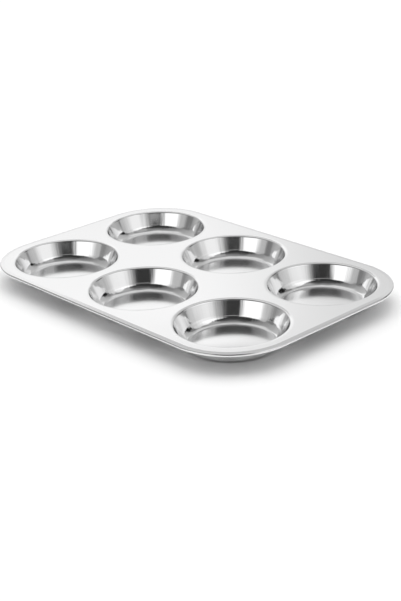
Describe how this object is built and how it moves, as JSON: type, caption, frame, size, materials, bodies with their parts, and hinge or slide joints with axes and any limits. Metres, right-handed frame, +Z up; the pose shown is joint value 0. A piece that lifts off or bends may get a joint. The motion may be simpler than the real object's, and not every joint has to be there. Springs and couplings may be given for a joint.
{
  "type": "muffin top pan",
  "caption": "Rectangular baking pan of polished stainless steel with round corners, shallow round cups in rows and a rolled, wired edge.",
  "frame": {"origin": "middle of the pan's outline, on the surface that the cups stand on", "axes": "+X along the longer side, parallel to the longer rows of cups; +Y across the pan; +Z up out of the cups"},
  "size_m": [0.3174, 0.2174, 0.0172],
  "materials": {
    "polished_stainless": "polished",
    "drawn_wire": "plain drawn"
  },
  "bodies": {
    "root": {"pan_sheet": "polished_stainless", "rim_wire": "drawn_wire"}
  },
  "joints": []
}
